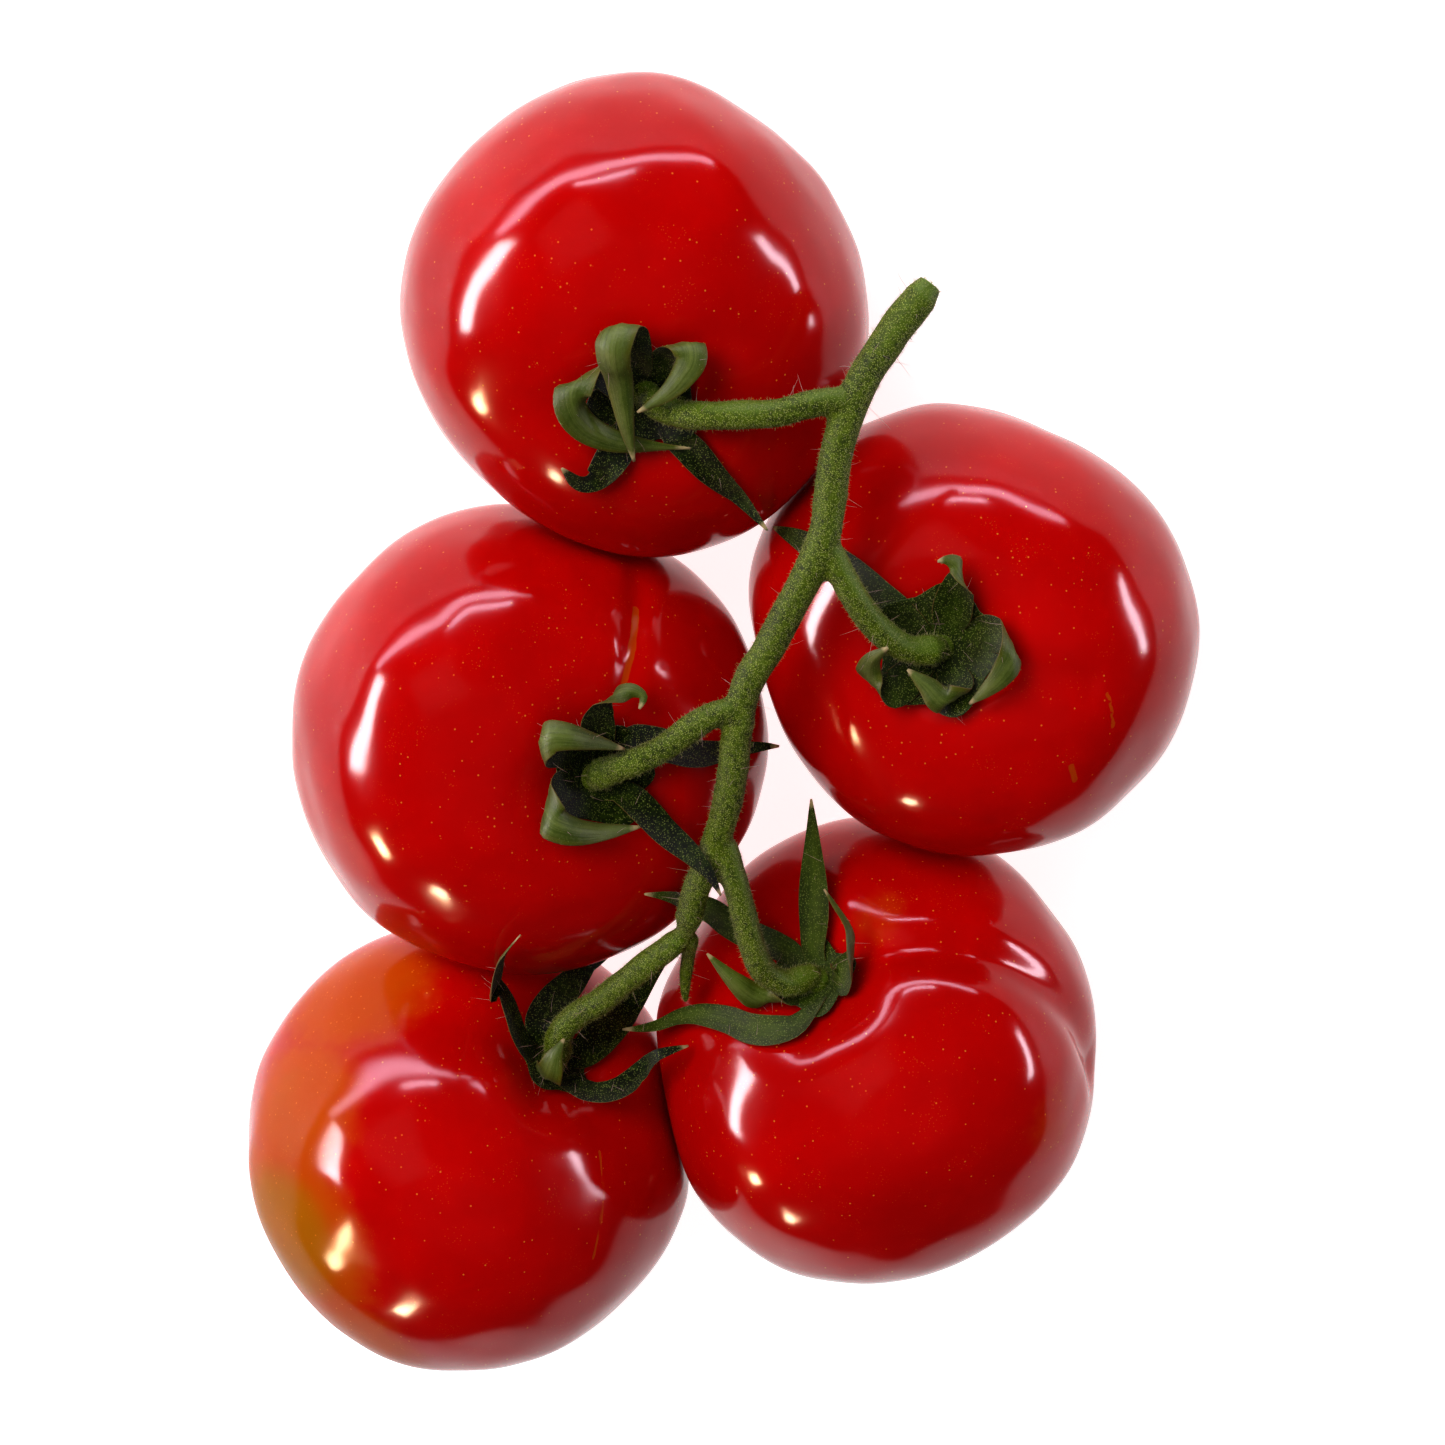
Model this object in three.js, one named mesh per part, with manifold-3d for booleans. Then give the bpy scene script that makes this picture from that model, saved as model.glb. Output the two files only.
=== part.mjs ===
// A truss of five ripe tomatoes, as picked: fruits resting on a level surface, the main stem
// arching over them, one stalk to each fruit and a calyx of leafy sepals where it joins.
// Millimetres, +Z up, the resting surface at z = 0.
import * as THREE from 'three';
import { mergeVertices } from 'three/addons/utils/BufferGeometryUtils.js';
import Module from 'manifold-3d';

const wasm = await Module();
wasm.setup();

// Clearances between pieces.
const fitGap = 0.3; // stalk to main stem, stalk to calyx, calyx to skin, sepal to calyx
const fruitGap = 0.5; // between two fruits that press on each other
const sepalLift = 0.6; // sepal to the skin that it lies over

// Fruit.
const plumpness = 2.25; // 2 is an ellipse, more has fuller shoulders
const dimpleDepth = 5;
const dimpleRadius = 9;
const scarDepth = 0.7; // the shallow blossom end
const scarRadius = 6;
const shoulderRibs = 5;
const shoulderRadius = 14.4; // how far out from the stem end the ribs have faded
const ribDepth = 0.5;
const pressRounding = 1.2; // how softly a pressed cheek turns into its flat
const restDepth = 0.35; // how far each fruit is flattened where it rests
const skinSides = 28;
const skinRings = 16;
const ringCrowding = 1.2; // more than 1 draws the rings towards the stem end
const clearSoftness = 0.2; // how softly a stem or sepal is lifted off the skin

// Stems.
const stemThickness = 5.2;
const stalkThickness = 4;
const stubThickness = 3.2;
const stemSides = 10;
const mainSteps = 36;
const stalkSteps = 14;
const stubSteps = 8;
const noseShare = 0.55; // how much narrower a stem's blunt end is

// Calyx.
const calyxRadius = 3.4;
const calyxHeight = 2.4;
const calyxSides = 14;
const calyxRings = 8;
const sepalThickness = 0.7;
const sepalSteps = 11;
const freeStep = 3; // the first step that is clear of the sepal's own stalk
const clearingPasses = 3; // rounds of moving a sepal off the stems and off the skins
const layingHeight = 5; // below this height over the skin a sepal lies along it
const rollLength = 0.35; // share of a sepal's length over which it rolls round its midrib
const sepalChannel = 0.25; // how far a sepal's sides rise, as a share of its half width
const footShare = 0.62; // width of a sepal's foot, as a share of its greatest
const widestAt = 0.3;
const tipShare = 0.07;
const taperPower = 1.5;

const red = new THREE.Color('#c3100c');
const green = new THREE.Color('#4c6b24');
const leafGreen = new THREE.Color('#3f5f22');
const skinMaterial = new THREE.MeshStandardMaterial({ color: red, roughness: 0.15, metalness: 0 });
const stemMaterial = new THREE.MeshStandardMaterial({ color: green, roughness: 0.75, metalness: 0 });
const sepalMaterial = new THREE.MeshStandardMaterial({ color: leafGreen, roughness: 0.7, metalness: 0 });

// Each fruit lies beside an earlier one: heading is the bearing from it, anticlockwise from +X,
// and squeeze is how much closer the two lie than their round widths. The stem end leans by
// lean degrees towards the bearing toward. Swells are [lobes round the fruit, depth, bearing].
const fruits = [
  { name: 'tomato_5', across: 69.8, tall: 58.6,
    lean: 64, toward: 55, swells: [[2, 0.021, 65], [3, 0.007, 20]] },
  { name: 'tomato_3', beside: 'tomato_5', heading: 81.4, squeeze: 3.7, across: 70.4, tall: 59.1,
    lean: 25, toward: 18, swells: [[2, 0.013, 169], [3, 0.013, 1]] },
  { name: 'tomato_4', beside: 'tomato_5', heading: 14.1, squeeze: 5.5, across: 69.6, tall: 58.5,
    lean: 54, toward: 117, swells: [[2, 0.03, 72], [3, 0.013, 91], [4, 0.008, 79], [5, 0.007, 25]] },
  { name: 'tomato_1', beside: 'tomato_3', heading: 75.4, squeeze: 3.1, across: 68, tall: 57.1,
    lean: 10, toward: 292, swells: [[2, 0.037, 112], [3, 0.009, 51], [4, 0.014, 87]] },
  { name: 'tomato_2', beside: 'tomato_3', heading: 14, squeeze: 0.7, across: 66.4, tall: 55.8,
    lean: 19, toward: 135, swells: [[2, 0.033, 131], [3, 0.017, 14], [5, 0.008, 27]] },
];

// The main stem from its cut end to its fork, and each stalk from inside the main stem:
// [fruit it passes over, east, north, rise], as the function over() reads them.
const forkTaper = 0.85;
const knuckleTaper = 1.1;
const stubTaper = 0.5;
const knuckleRise = 0.5;
const mainRoute = [
  ['tomato_1', 1.22, 0.35, -5],
  ['tomato_1', 1.03, 0.11, -2.5],
  ['tomato_1', 0.93, -0.04, -0.5],
  ['tomato_1', 0.86, -0.19, 0.5],
  ['tomato_1', 0.81, -0.44, 1.5],
  ['tomato_2', -0.68, 0.74, 1.2],
  ['tomato_2', -0.78, 0.51, 1.5],
  ['tomato_2', -0.9, 0.27, 1.5],
  ['tomato_2', -1.01, 0.06, 1.2],
  ['tomato_3', 0.88, 0.33, -3.5],
  ['tomato_3', 0.85, 0.05, -4.5],
  ['tomato_3', 0.79, -0.19, -6],
  ['tomato_3', 0.72, -0.38, -6.8],
  ['tomato_3', 0.67, -0.61, -8.2],
];
const stalkRoutes = [
  { fruit: 'tomato_1', route: [
    ['tomato_1', 0.89, -0.11, 0.2],
    ['tomato_1', 0.74, -0.12, 1.6],
    ['tomato_1', 0.59, -0.15, 2.4],
    ['tomato_1', 0.43, -0.16, 2.4],
    ['tomato_1', 0.28, -0.17, 1.7],
    ['tomato_1', 0.16, -0.17, 0.2],
    ['tomato_1', 0.07, -0.13, -1.6],
  ] },
  { fruit: 'tomato_2', route: [
    ['tomato_2', -0.69, 0.74, 1.2],
    ['tomato_2', -0.58, 0.53, 1.6],
    ['tomato_2', -0.49, 0.38, 1],
    ['tomato_2', -0.4, 0.27, -0.3],
    ['tomato_2', -0.3, 0.2, -1.6],
    ['tomato_2', -0.21, 0.19, -3],
  ] },
  { fruit: 'tomato_3', route: [
    ['tomato_3', 0.91, 0.45, -3],
    ['tomato_3', 0.79, 0.42, -2.6],
    ['tomato_3', 0.69, 0.36, -2.4],
    ['tomato_3', 0.59, 0.28, -2.7],
    ['tomato_3', 0.49, 0.22, -3.2],
    ['tomato_3', 0.39, 0.17, -4.2],
    ['tomato_3', 0.31, 0.13, -5.6],
  ] },
  { fruit: 'tomato_4', route: [
    ['tomato_3', 0.81, -0.12, -6],
    ['tomato_3', 0.87, -0.34, -6],
    ['tomato_3', 0.91, -0.5, -6.5],
    ['tomato_4', -0.55, 0.77, -12.5],
    ['tomato_4', -0.5, 0.65, -13.5],
    ['tomato_4', -0.41, 0.57, -15],
  ] },
  { fruit: 'tomato_5', route: [
    ['tomato_3', 0.67, -0.6, -8.2],
    ['tomato_3', 0.6, -0.68, -8.6],
    ['tomato_3', 0.5, -0.77, -9.3],
    ['tomato_3', 0.4, -0.87, -10.2],
    ['tomato_3', 0.3, -0.97, -11.2],
    ['tomato_5', 0.5, 0.83, -20],
    ['tomato_5', 0.42, 0.73, -21],
  ] },
];
const stubRoute = [
  ['tomato_3', 0.69, -0.62, -8.4],
  ['tomato_3', 0.68, -0.75, -11.5],
  ['tomato_4', -0.83, 0.55, -18],
  ['tomato_4', -0.83, 0.43, -18.8],
];

// The sepals round each calyx: turn is the bearing of the foot round the fruit's axis, wide the
// greatest width, and points lead from the foot to the tip, [east, north, up] from the middle
// of the calyx in the fruit's own axes. Some roll over: [degrees, share of the length where the
// roll starts].
const sepals = {
  tomato_1: [
    { turn: 112, wide: 5.8, roll: [-25, 0.2],
      points: [[-1.8, 7.5, 2.5], [-3.5, 13.5, 6.5], [-5, 11, 9.5],
        [-4, 5, 7.5], [-3, -2, 7], [-2, -7.5, 6]] },
    { turn: 52, wide: 5.4, roll: [50, 0.15],
      points: [[3.5, 7.5, 2.5], [5.5, 10, 6], [6, 9, 7.5], [4.5, 6, 8], [2, 3, 7.5], [-1.5, 0.5, 7]] },
    { turn: 184, wide: 5.4, roll: [-135, 0.12],
      points: [[-6.5, 5, 3], [-10.5, 4, 7.5], [-9.5, -0.5, 7],
        [-5.5, -4.5, 5], [0, -6.5, 3.5], [6, -7, 3.5]] },
    { turn: 250, wide: 5.2,
      points: [[-3.5, -6.5, 1.5], [-5.5, -9, 3], [-7.5, -11.5, 3], [-9.5, -11.5, 4], [-12, -8.5, 5.5]] },
    { turn: 318, wide: 4.4,
      points: [[3.5, -5, 1], [6, -7.5, 2], [9, -11.5, 2], [13, -16.5, 0], [17, -21.5, 1]] },
  ],
  tomato_2: [
    { turn: 150, wide: 5.8,
      points: [[-5.5, 4.5, 1.5], [-9.5, 7.5, 2.5], [-12.5, 10, 2],
        [-18.5, 13.5, -1.5], [-25.5, 15.5, -9]] },
    { turn: 75, wide: 6, roll: [-130, 0.5],
      points: [[1.5, 4, 1], [3, 8, 4], [4, 11, 6.5], [3, 13, 7.5], [1, 13, 8.5]] },
    { turn: 10, wide: 5.6, roll: [100, 0.3],
      points: [[6, 2, 1.5], [9.5, 2.5, 4], [11.5, 0, 6.5], [10, -3, 7], [7.5, -5.5, 6], [5, -7.5, 4.5]] },
    { turn: 290, wide: 5.6, roll: [80, 0.3],
      points: [[2, -4, 1], [3, -6.5, 4], [1.5, -7, 6], [-0.5, -5, 6.5], [-3.5, -2.5, 7]] },
    { turn: 225, wide: 5.6, roll: [90, 0.3],
      points: [[-4, -4, 1.5], [-6.5, -6, 4], [-9, -4.5, 6], [-8.5, -1.5, 9], [-5.5, 1, 11.5]] },
  ],
  tomato_3: [
    { turn: 134, wide: 5.8, roll: [30, 0.2],
      points: [[-5, 4.5, 2.5], [-11, 7.5, 7.5], [-10, 9, 10],
        [-7, 8.5, 10.5], [-2.5, 7, 9], [1.5, 5.5, 8]] },
    { turn: 64, wide: 5.2, roll: [135, 0.5],
      points: [[-0.6, 7.1, 2.5], [-0.9, 11, 5], [2, 13.5, 6.5], [4.5, 13, 7.5], [4, 11, 7.5]] },
    { turn: 2, wide: 5,
      points: [[4, 4.5, 1], [9, 4, 2.5], [14, 2.5, 2.5], [20.5, 2, 1], [24.5, 2.5, 2.5], [28.5, 2, 1.5]] },
    { turn: 205, wide: 5.6, roll: [-95, 0.15],
      points: [[-5.5, -0.5, 2], [-9, -2, 5], [-9.5, -4, 8],
        [-6, -5.5, 8.5], [-0.5, -6.5, 7], [4.5, -6.5, 6.5]] },
    { turn: 305, wide: 4.8,
      points: [[3.5, -2.5, 2], [5.5, -4.5, 5], [8, -7.5, 7],
        [11, -10.5, 9], [13.5, -13.5, 10], [15.5, -17, 10]] },
  ],
  tomato_4: [
    { turn: 85, wide: 4.8,
      points: [[0, 3.5, 0.5], [1.5, 9.5, 4.5], [3, 16.5, 8.5], [5, 22, 15]] },
    { turn: 10, wide: 5.2, roll: [-70, 0.2],
      points: [[4, -1.5, 1], [7, 0, 4.5], [8, 3.5, 7], [6.5, 7, 8.5], [5, 9.5, 10]] },
    { turn: 140, wide: 4.6,
      points: [[-3.5, 4.5, 1], [-8, 6, 6], [-10.5, 7, 9], [-12, 8, 12],
        [-14.5, 9, 14], [-15.5, 7.5, 20], [-17.5, 6, 24.5]] },
    { turn: 192, wide: 4.4, roll: [125, 0.1],
      points: [[-4.5, -3.2, 2.2], [-7.5, -3.6, 4.7], [-9.5, -2.5, 9], [-12.5, 1, 12.5]] },
    { turn: 280, wide: 4.6,
      points: [[-2.5, -8, 1.8], [-8, -7.8, 2.1], [-13.5, -5, 2.5],
        [-20, -2.5, 1], [-26, -3, 0], [-31.5, -2, -1]] },
  ],
  tomato_5: [
    { turn: 172, wide: 4.4,
      points: [[-6.5, -0.5, 2.5], [-11, 2, 6.5], [-13, 6.5, 6.5], [-19, 1, 18.5], [-19.5, 1, 25.5]] },
    { turn: 106, wide: 6,
      points: [[-3, 3, 1.5], [-2, 8, 3.5], [0.5, 12, 4.5], [2.5, 15, 6], [3.5, 15.5, 10]] },
    { turn: 35, wide: 6,
      points: [[4.5, 2.5, 1.5], [7, 6.5, 3.5], [11, 13, 3.5], [11.5, 14.5, 9], [12, 15.5, 14]] },
    { turn: 320, wide: 4.6,
      points: [[2, -3.5, 1.5], [4.5, -7, 5.5], [7.5, -6.5, 7.5],
        [10.5, -3, 9.5], [10, -3.5, 15], [14, -1.5, 16.5]] },
    { turn: 240, wide: 5,
      points: [[-3, -5.5, 4.5], [-4, -4.5, 8], [-3.5, -2.5, 10]] },
  ],
};

const radians = THREE.MathUtils.degToRad;
const truss = new THREE.Group();

// ---- helpers -------------------------------------------------------------------------------

function toSolid(geometry) {
  const bare = geometry.clone();
  bare.deleteAttribute('normal');
  bare.deleteAttribute('uv');
  const merged = mergeVertices(bare, 1e-4);
  return new wasm.Manifold(new wasm.Mesh({
    numProp: 3,
    vertProperties: new Float32Array(merged.attributes.position.array),
    triVerts: new Uint32Array(merged.index.array),
  }));
}

function toGeometry(solid) {
  const mesh = solid.getMesh();
  const geometry = new THREE.BufferGeometry();
  geometry.setAttribute('position', new THREE.BufferAttribute(new Float32Array(mesh.vertProperties), 3));
  geometry.setIndex(new THREE.BufferAttribute(new Uint32Array(mesh.triVerts), 1));
  geometry.computeVertexNormals();
  return geometry;
}

function addPiece(name, geometry, material) {
  const piece = new THREE.Mesh(geometry, material.clone());
  piece.name = name;
  truss.add(piece);
}

// Moves every vertex of a geometry to place(vertex), which returns a Vector3.
function reshape(geometry, place) {
  const position = geometry.attributes.position;
  const point = new THREE.Vector3();
  for (let i = 0; i < position.count; i += 1) {
    point.fromBufferAttribute(position, i);
    const moved = place(point);
    position.setXYZ(i, moved.x, moved.y, moved.z);
  }
  geometry.computeVertexNormals();
  return geometry;
}

// ---- fruits --------------------------------------------------------------------------------

// The fruit's own axes: axis points out of the stem end, east lies as near +X as it can.
function ownAxes(fruit) {
  const lean = radians(fruit.lean);
  const toward = radians(fruit.toward);
  fruit.axis = new THREE.Vector3(0, 0, 1)
    .applyAxisAngle(new THREE.Vector3(0, 1, 0), lean)
    .applyAxisAngle(new THREE.Vector3(0, 0, 1), toward);
  fruit.east = new THREE.Vector3(1, 0, 0).addScaledVector(fruit.axis, -fruit.axis.x).normalize();
  fruit.north = new THREE.Vector3().crossVectors(fruit.axis, fruit.east);
}

// Point of the free skin, from the fruit's centre: turn round the axis, drop from the stem end.
function skinPoint(fruit, turn, drop) {
  const radius = fruit.across / 2;
  const reach = ((Math.sin(drop) / radius) ** plumpness
    + (Math.abs(Math.cos(drop)) / (fruit.tall / 2)) ** plumpness) ** (-1 / plumpness);
  let girth = 1;
  for (const [lobes, depth, bearing] of fruit.swells) {
    girth += depth * Math.cos(lobes * (turn - radians(bearing)));
  }
  const out = reach * Math.sin(drop) * girth;
  let up = reach * Math.cos(drop);
  if (up > 0) {
    const shoulder = (out / radius) * Math.exp(-((out / shoulderRadius) ** 2)) * 4;
    up -= dimpleDepth * Math.exp(-((out / dimpleRadius) ** 2));
    up -= ribDepth * shoulder * (0.5 - 0.5 * Math.cos(shoulderRibs * turn));
  } else {
    up += scarDepth * Math.exp(-((out / scarRadius) ** 2));
  }
  return new THREE.Vector3()
    .addScaledVector(fruit.east, out * Math.cos(turn))
    .addScaledVector(fruit.north, out * Math.sin(turn))
    .addScaledVector(fruit.axis, up);
}

// A unit sphere whose rings crowd towards the stem end, moved onto the free skin.
function freeSkin(fruit, around, rings) {
  const ball = new THREE.SphereGeometry(1, around, rings).rotateX(Math.PI / 2);
  return reshape(ball, (point) => {
    const share = Math.acos(THREE.MathUtils.clamp(point.z, -1, 1)) / Math.PI;
    return skinPoint(fruit, Math.atan2(point.y, point.x), Math.PI * share ** ringCrowding);
  });
}

const find = (name) => fruits.find((fruit) => fruit.name === name);

function reachAlong(geometry, direction) {
  const position = geometry.attributes.position;
  const point = new THREE.Vector3();
  let most = 0;
  for (let i = 0; i < position.count; i += 1) {
    most = Math.max(most, point.fromBufferAttribute(position, i).dot(direction));
  }
  return most;
}

for (const fruit of fruits) {
  ownAxes(fruit);
  fruit.skin = freeSkin(fruit, skinSides, skinRings);
  const height = reachAlong(fruit.skin, new THREE.Vector3(0, 0, -1)) - restDepth;
  fruit.centre = new THREE.Vector3(0, 0, height);
  if (fruit.beside) {
    const other = find(fruit.beside);
    const distance = (fruit.across + other.across) / 2 - fruit.squeeze;
    fruit.centre.x = other.centre.x + distance * Math.cos(radians(fruit.heading));
    fruit.centre.y = other.centre.y + distance * Math.sin(radians(fruit.heading));
  }
  fruit.top = height + reachAlong(fruit.skin, new THREE.Vector3(0, 0, 1));
  fruit.presses = [];
}

// Where two fruits would meet, both cheeks are pressed flat, half the overlap each.
for (const fruit of fruits) {
  for (const other of fruits) {
    if (other === fruit) continue;
    const way = other.centre.clone().sub(fruit.centre);
    const distance = way.length();
    way.divideScalar(distance);
    const own = reachAlong(fruit.skin, way);
    const theirs = reachAlong(other.skin, way.clone().negate());
    const overlap = own + theirs + fruitGap - distance;
    if (overlap > 0) fruit.presses.push({ way, stop: own - overlap / 2 });
  }
}

function pressed(fruit, point) {
  for (const { way, stop } of fruit.presses) {
    const over = point.dot(way) - stop;
    point.addScaledVector(way, -0.5 * (over + Math.hypot(over, pressRounding)));
  }
  return point;
}

for (const fruit of fruits) {
  const whole = reshape(fruit.skin, (point) => pressed(fruit, point).add(fruit.centre));
  const size = fruit.across * 2;
  const floor = new THREE.BoxGeometry(size, size, size)
    .translate(fruit.centre.x, fruit.centre.y, -size / 2);
  addPiece(fruit.name, toGeometry(toSolid(whole).subtract(toSolid(floor))), skinMaterial);
}

// ---- stems ---------------------------------------------------------------------------------

// A place over a fruit: east and north in its half widths from its centre, rise above its top.
function over([name, east, north, rise]) {
  const fruit = find(name);
  const half = fruit.across / 2;
  return new THREE.Vector3(fruit.centre.x + east * half, fruit.centre.y + north * half, fruit.top + rise);
}

// The middle line of a stem along a curve, clear of every fruit's skin: a list of places with
// the half thickness and the directions along and round the stem at each.
function stemLine(points, startThickness, endThickness, steps) {
  const route = new THREE.CatmullRomCurve3(points, false, 'centripetal');
  const frames = route.computeFrenetFrames(steps, false);
  return frames.tangents.map((along, step) => {
    const share = step / steps;
    const spot = route.getPointAt(share);
    const half = 0.5 * THREE.MathUtils.lerp(startThickness, endThickness, share);
    for (const fruit of fruits) clearOfSkin(fruit, spot, half + fitGap);
    return { spot, half, along, sideways: frames.normals[step], upright: frames.binormals[step] };
  });
}

// A round stem on its middle line, with a blunt nose at each end. With room, it is the space
// round the stem that a neighbour keeps out of.
function stem(line, room = 0) {
  const steps = line.length - 1;
  const bar = new THREE.CylinderGeometry(1, 1, 1, stemSides, steps);
  return reshape(bar, (point) => {
    const step = Math.round((0.5 - point.y) * steps);
    const { spot, half, along, sideways, upright } = line[step];
    const isEnd = step === 0 || step === steps;
    const reach = half * (isEnd ? noseShare : 1) + room;
    const past = isEnd ? Math.sign(step - 0.5) * room : 0;
    return spot.clone()
      .addScaledVector(along, past)
      .addScaledVector(sideways, point.x * reach)
      .addScaledVector(upright, point.z * reach);
  });
}

const mainLine = stemLine(mainRoute.map(over), stemThickness, stemThickness * forkTaper, mainSteps);
const mainRoom = toSolid(stem(mainLine, fitGap));
const stemLines = [mainLine];
addPiece('main_stem', toGeometry(toSolid(stem(mainLine))), stemMaterial);

// ---- calyxes and stalks --------------------------------------------------------------------

function calyxBase(fruit) {
  return fruit.tall / 2 - dimpleDepth + fitGap + calyxHeight / 2;
}

// From the fruit's own axes, with the origin at its centre, to the truss.
function fromFruit(fruit, x, y, z) {
  return fruit.centre.clone()
    .addScaledVector(fruit.east, x)
    .addScaledVector(fruit.north, y)
    .addScaledVector(fruit.axis, z);
}

function calyxDisc(fruit, room) {
  const disc = new THREE.SphereGeometry(1, calyxSides, calyxRings).rotateX(Math.PI / 2);
  const base = calyxBase(fruit);
  return reshape(disc, (point) => fromFruit(
    fruit,
    point.x * (calyxRadius + room),
    point.y * (calyxRadius + room),
    base + point.z * (calyxHeight / 2 + room),
  ));
}

for (const { fruit: name, route } of stalkRoutes) {
  const fruit = find(name);
  const number = name.split('_')[1];
  const end = fromFruit(fruit, 0, 0, calyxBase(fruit) + calyxHeight / 2 + knuckleRise);
  const points = [...route.map(over), end];
  const line = stemLine(points, stalkThickness, stalkThickness * knuckleTaper, stalkSteps);
  const stalk = toSolid(stem(line))
    .subtract(mainRoom)
    .subtract(toSolid(calyxDisc(fruit, fitGap)));
  addPiece(`stalk_${number}`, toGeometry(stalk), stemMaterial);
  addPiece(`calyx_${number}`, calyxDisc(fruit, 0), sepalMaterial);
  fruit.stalkRoom = toSolid(stem(line, fitGap));
  stemLines.push(line);
}
const stubLine = stemLine(stubRoute.map(over), stubThickness, stubThickness * stubTaper, stubSteps);
const stub = toSolid(stem(stubLine))
  .subtract(mainRoom)
  .subtract(find('tomato_4').stalkRoom)
  .subtract(find('tomato_5').stalkRoom);
stemLines.push(stubLine);
addPiece('empty_stalk', toGeometry(stub), stemMaterial);

// ---- sepals --------------------------------------------------------------------------------

// Distance from a fruit's centre to its free skin, in the direction of a point.
function skinReach(fruit, point) {
  const up = point.dot(fruit.axis);
  const turn = Math.atan2(point.dot(fruit.north), point.dot(fruit.east));
  const slope = Math.acos(THREE.MathUtils.clamp(up / point.length(), -1, 1));
  let low = 0;
  let high = Math.PI;
  for (let i = 0; i < 24; i += 1) {
    const drop = (low + high) / 2;
    if (skinPoint(fruit, turn, drop).angleTo(fruit.axis) < slope) low = drop;
    else high = drop;
  }
  return skinPoint(fruit, turn, low).length();
}

// Moves a point straight out from a fruit's centre until it clears the skin by least.
function clearOfSkin(fruit, point, least) {
  const own = point.clone().sub(fruit.centre);
  if (own.length() > fruit.across) return;
  const under = skinReach(fruit, own) + least - own.length();
  const push = 0.5 * (under + Math.hypot(under, clearSoftness));
  point.addScaledVector(own.normalize(), push);
}

// Moves a spot of a midrib aside until a sepal of that half width clears the stems.
function clearOfStems(spot, across, half) {
  for (const line of stemLines) {
    for (const { spot: middle, half: stemHalf } of line) {
      const away = spot.clone().sub(middle);
      const distance = away.length();
      away.divideScalar(distance);
      const reach = half * Math.abs(away.dot(across)) + sepalThickness / 2;
      spot.addScaledVector(away, Math.max(0, stemHalf + fitGap + reach - distance));
    }
  }
}

// The midrib: it starts at the rim of the calyx and stays clear of every fruit's skin.
function midrib(fruit, sepal) {
  const turn = radians(sepal.turn);
  const base = calyxBase(fruit);
  const foot = calyxRadius - fitGap; // the foot is then cut to the rim of the calyx
  const points = [fromFruit(fruit, foot * Math.cos(turn), foot * Math.sin(turn), base)];
  for (const [x, y, z] of sepal.points) points.push(fromFruit(fruit, x, y, base + z));
  const route = new THREE.CatmullRomCurve3(points, false, 'centripetal');
  const spots = route.getSpacedPoints(sepalSteps);
  for (const spot of spots.slice(1)) {
    for (const any of fruits) clearOfSkin(any, spot, sepalLift + sepalThickness / 2);
  }
  return spots;
}

// Width along the sepal, as a share of the greatest: a narrow foot, then a long taper.
function sepalOutline(share) {
  const opened = Math.sin(Math.min(share / widestAt, 1) * Math.PI / 2);
  const pastWidest = Math.max(0, (share - widestAt) / (1 - widestAt));
  return (footShare + (1 - footShare) * opened) * (1 - (1 - tipShare) * pastWidest ** taperPower);
}

// Moves a spot of a midrib out until both edges of the sepal clear a fruit's skin there.
function clearEdges(fruit, spot, across, half) {
  const out = spot.clone().sub(fruit.centre);
  if (out.length() > fruit.across) return;
  const needs = [-half, half].map((side) => {
    const edge = out.clone().addScaledVector(across, side);
    return skinReach(fruit, edge) + sepalLift + sepalThickness / 2 - edge.length();
  });
  spot.addScaledVector(out.normalize(), Math.max(0, ...needs));
}

function sepalShape(fruit, sepal) {
  const spots = midrib(fruit, sepal);
  const turn = radians(sepal.turn);
  const [rollAngle, rollStart] = sepal.roll ?? [0, 0];
  const across = fruit.east.clone().multiplyScalar(-Math.sin(turn))
    .addScaledVector(fruit.north, Math.cos(turn));
  const frames = spots.map((spot, i) => {
    const share = i / sepalSteps;
    const before = spots[Math.max(i - 1, 0)];
    const after = spots[Math.min(i + 1, sepalSteps)];
    const along = after.clone().sub(before).normalize();
    const out = spot.clone().sub(fruit.centre);
    const height = out.length() - skinReach(fruit, out);
    const lying = THREE.MathUtils.clamp(1 - height / layingHeight, 0, 1);
    const flat = out.cross(along).normalize();
    if (i > 1) across.addScaledVector(flat, Math.sign(flat.dot(across)) * lying);
    across.addScaledVector(along, -across.dot(along)).normalize();
    const roll = radians(rollAngle) * THREE.MathUtils.smoothstep(share, rollStart, rollStart + rollLength);
    const rolled = across.clone().applyAxisAngle(along, roll);
    const half = 0.5 * sepal.wide * sepalOutline(share);
    for (let pass = 0; pass < clearingPasses; pass += 1) {
      if (i >= freeStep) clearOfStems(spot, rolled, half);
      for (const any of i > 0 ? fruits : [fruit]) clearEdges(any, spot, rolled, half);
    }
    return { spot, half, across: rolled, face: new THREE.Vector3().crossVectors(along, rolled) };
  });
  const blade = new THREE.CylinderGeometry(1, 1, 1, 6, sepalSteps);
  return reshape(blade, (point) => {
    const step = Math.round((0.5 - point.y) * sepalSteps);
    const frame = frames[step];
    const rise = sepalChannel * frame.half * point.x ** 2 + 0.5 * sepalThickness * point.z;
    return frame.spot.clone()
      .addScaledVector(frame.across, frame.half * point.x)
      .addScaledVector(frame.face, rise);
  });
}

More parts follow.
